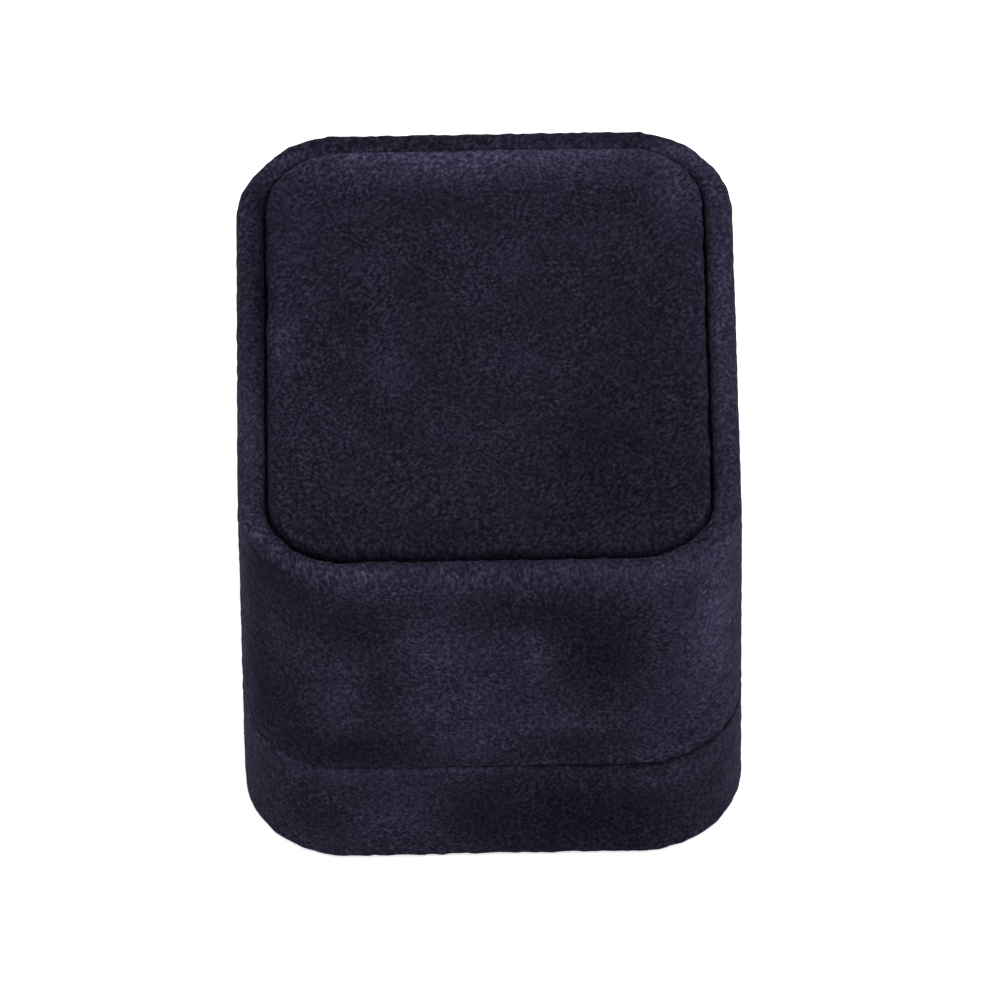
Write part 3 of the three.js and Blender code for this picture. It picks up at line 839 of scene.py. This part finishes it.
def plumped(piece, held):
    """Swells a pad by cloth simulation, on a copy as large as a seat cushion. The held points stay where they
    are, and no other moves more than CAP, or than INWARD_CAP against its normal."""
    start = points_of(piece.data)
    enlarged = piece.data.copy()
    enlarged.transform(Matrix.Scale(COPY_SCALE, 4))
    swelling = bpy.data.objects.new("swelling", enlarged)
    bpy.context.scene.collection.objects.link(swelling)
    swelling.vertex_groups.new(name="held").add(np.flatnonzero(held).tolist(), 1.0, "REPLACE")
    cloth = swelling.modifiers.new("cloth", "CLOTH")
    cloth.settings.use_pressure = True
    cloth.settings.uniform_pressure_force = PRESSURE
    cloth.settings.vertex_group_mass = "held"
    cloth.settings.effector_weights.gravity = 0
    cloth.point_cache.frame_end = CLOTH_STEPS
    for step in range(1, CLOTH_STEPS + 1):
        bpy.context.scene.frame_set(step)
    result = swelling.evaluated_get(bpy.context.evaluated_depsgraph_get()).to_mesh()
    moved = points_of(result) / COPY_SCALE - start
    bpy.context.scene.frame_set(1)
    bpy.data.objects.remove(swelling)
    out = normals_of(piece.data)
    inward = np.minimum((moved * out).sum(1) + INWARD_CAP, 0)
    moved -= out * inward[:, None]
    length = np.linalg.norm(moved, axis=1)[:, None]
    set_points(piece, start + moved * np.minimum(1, CAP / np.maximum(length, 1e-9)))


def refined(piece, levels):
    smoother = piece.modifiers.new("finer", "SUBSURF")
    smoother.levels = smoother.render_levels = levels
    bpy.context.view_layer.update()
    finer = bpy.data.meshes.new_from_object(piece.evaluated_get(bpy.context.evaluated_depsgraph_get()))
    piece.modifiers.clear()
    old, piece.data = piece.data, finer
    bpy.data.meshes.remove(old)
    finer.name = piece.name
    piece.data.polygons.foreach_set("use_smooth", [True] * len(piece.data.polygons))


def pulled_in(points, radius):
    """The points, brought level inside the rounded outline that has this radius at its corners."""
    offset = points[:, :2] - [0, MIDDLE_Y]
    past = np.maximum(np.abs(offset) - [HALF_X - CORNER, HALF_Y - CORNER], 0)
    far = np.linalg.norm(past, axis=1)
    kept = np.where(far > radius, radius / np.maximum(far, 1e-9), 1)[:, None]
    inside = points.copy()
    inside[:, :2] -= np.where(offset < 0, -1, 1) * past * (1 - kept)
    return inside


def ring_cushion(side):
    """Half of the pair that grips a ring: soft-edged, and pressed against the other half along the slot."""
    node = f"ring_cushion_{side}"
    low, high = box_mm(node)
    bottom, way = low[2], -1 if side == "front" else 1
    roll, slim, sink, slot_radius, wall_gap = 2.0, 0.12, 0.3, 1.0, 0.12
    outer_radius = CORNER - (low[0] + HALF_X) - roll
    radii = (outer_radius, slot_radius) if side == "front" else (slot_radius, outer_radius)
    centre, half = (low + high)[:2] / 2, (high - low)[:2] / 2 - roll - slim
    crown = high[2] - sink
    rows = quarter_roll(roll, crown, bottom, PAD_STEP)
    piece = slab(f"{node}_pad", centre, half, radii, rows, crowned(half, crown, 0.5, 1.6), PAD_STEP)
    plumped(piece, points_of(piece.data)[:, 2] < bottom + 1.5)
    refined(piece, 2)

    spots = points_of(piece.data)
    fold = 0.10 * noise_at(spots * [0.35, 1, 1], 3.2, 51) + 0.10 * noise_at(spots, 7, 52)
    spots = spots + normals_of(piece.data) * (fold * (spots[:, 2] > bottom + 1))[:, None]
    slot_face = MIDDLE_Y + way * 0.06
    spots[:, 1] = np.maximum(spots[:, 1], slot_face) if way > 0 else np.minimum(spots[:, 1], slot_face)
    spots = pulled_in(spots, CORNER - LIP_IN - wall_gap)
    spots[:, 2] = np.maximum(spots[:, 2], bottom)
    set_points(piece, spots)
    tuft(piece, spots[:, 2] > bottom + 2, 53)

    spots = points_of(piece.data)
    # Painted shade in the slot between the two halves and lower down the sides, and slightly lighter all
    # over.
    slot = between(-np.abs(spots[:, 1] - MIDDLE_Y), -1.6, -0.2)
    sunk_shade = between(-spots[:, 2], -crown + 1, -crown + 4)
    keep_pile_and_light(piece, pile_and_light_at(spots) - 0.8 * slot - 0.5 * sunk_shade + 0.1)
    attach(piece, "base")
    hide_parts(node)
    return piece


def wall_lining():
    """The satin strip round the inside of the lid's walls, a little rippled where it was glued."""
    thick = 0.7
    inset = HALF_X - lining_high[0]
    inside = inset + thick
    low, high = lining_low[2], lining_high[2]
    profile = fillet([
        hidden(inset, low), hidden(inset, high), (inside, high, 0.2, LINING_STEP), (inside, low, 0.25, 0.2),
    ])
    piece = sweep("lid_lining_strip", profile, LINING_STEP)
    spots = points_of(piece.data)
    shows = inset_of(spots) > inside - 0.3
    ripple = 0.10 * noise_at(spots * [1, 1, 0.12], 2.4, 61) + 0.05 * noise_at(spots, 3.5, 62)
    set_points(piece, spots + normals_of(piece.data) * (ripple * shows)[:, None])
    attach(piece, "lid")
    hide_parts("lid_wall_lining")
    return piece


def satin_pad():
    """The puffed satin pad under the lid's top, gathered at its edge."""
    roll, rise = 1.5, 0.35
    inset, back, crown = HALF_X - satin_high[0], satin_high[2], satin_low[2] + rise
    half, corner = pad_place(inset, roll)
    rows = quarter_roll(roll, crown, back, PAD_STEP)
    height = crowned(half, crown, -0.5, 1.3)
    piece = slab("lid_satin_pad", (0, MIDDLE_Y), half, (corner, corner), rows, height, PAD_STEP)
    plumped(piece, points_of(piece.data)[:, 2] > back - 0.6)
    refined(piece, 2)

    spots = points_of(piece.data)
    edge = inset_of(spots)
    rim = between(-edge, -inset - 6.5, -inset - 1.0) * (spots[:, 2] < back - 0.4)
    angle = np.arctan2(spots[:, 1] - MIDDLE_Y, spots[:, 0] * 1.2)
    round_it = np.stack([np.cos(angle) * 26, np.sin(angle) * 26, edge * 0.12], 1)
    gather = 0.26 * noise_at(round_it, 2.1, 71) + 0.14 * noise_at(round_it, 1.2, 72)
    slow = 0.30 * noise_at(spots, 8, 73) + 0.10 * noise_at(spots * [1, 0.5, 1], 2.6, 74)
    slow *= spots[:, 2] < back - 0.6
    spots = spots + normals_of(piece.data) * (gather * rim + slow)[:, None]
    spots[:, 2] = np.minimum(spots[:, 2], back)
    set_points(piece, spots)
    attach(piece, "lid")
    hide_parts("lid_liner_satin")
    return piece


outside = (lid_wrap(), base_wrap(), top_pad(), spine_strip())
cushions = (ring_cushion("front"), ring_cushion("rear"))
lining = (wall_lining(), satin_pad())
for pieces, finish, slot in (
    (outside, VELVET, "outer_velvet"), (cushions, VELVET, "cushion_velvet"), (lining, SATIN, "lining_satin"),
):
    for piece in pieces:
        dress(piece, finish)


# ---- Floor and light ----

def make_floor():
    reach, below = 3.0, 0.02
    mesh = bpy.data.meshes.new("floor")
    corners = [(-reach, -reach, 0), (reach, -reach, 0), (reach, reach, 0), (-reach, reach, 0)]
    mesh.from_pydata(corners, [], [(0, 1, 2, 3)])
    floor = bpy.data.objects.new("floor", mesh)
    floor.location.z = -below * MM
    bpy.context.scene.collection.objects.link(floor)
    made, tree, shader = material(
        "pale_floor", Roughness=0.9, Specular_IOR_Level=0.1, Emission_Color=(1, 1, 1, 1),
        Emission_Strength=0.55,
    )
    grain = fine_noise(tree, place_in(tree), 3, 2)
    shade = mix_of(tree, grain, (0.88, 0.88, 0.88, 1), (0.91, 0.91, 0.91, 1), "RGBA")
    tree.links.new(shade, shader.inputs["Base Color"])
    dress(floor, made)


def soft_light(name, place, size, power):
    data = bpy.data.lights.new(name, "AREA")
    data.shape = "SQUARE"
    data.size = size
    data.energy = power
    light = bpy.data.objects.new(name, data)
    light.location = place
    light.rotation_mode = "QUATERNION"
    light.rotation_quaternion = (target - light.location).to_track_quat("-Z", "Y")
    bpy.context.scene.collection.objects.link(light)


def make_light():
    world = bpy.data.worlds.new("studio")
    world.use_nodes = True
    world.node_tree.nodes["Background"].inputs["Color"].default_value = (1, 1, 1, 1)
    world.node_tree.nodes["Background"].inputs["Strength"].default_value = 1.0
    bpy.context.scene.world = world
    soft_light("key", (0.7, -0.1, 0.9), 0.9, 3)
    bpy.context.scene.view_settings.view_transform = "Standard"


make_floor()
make_light()
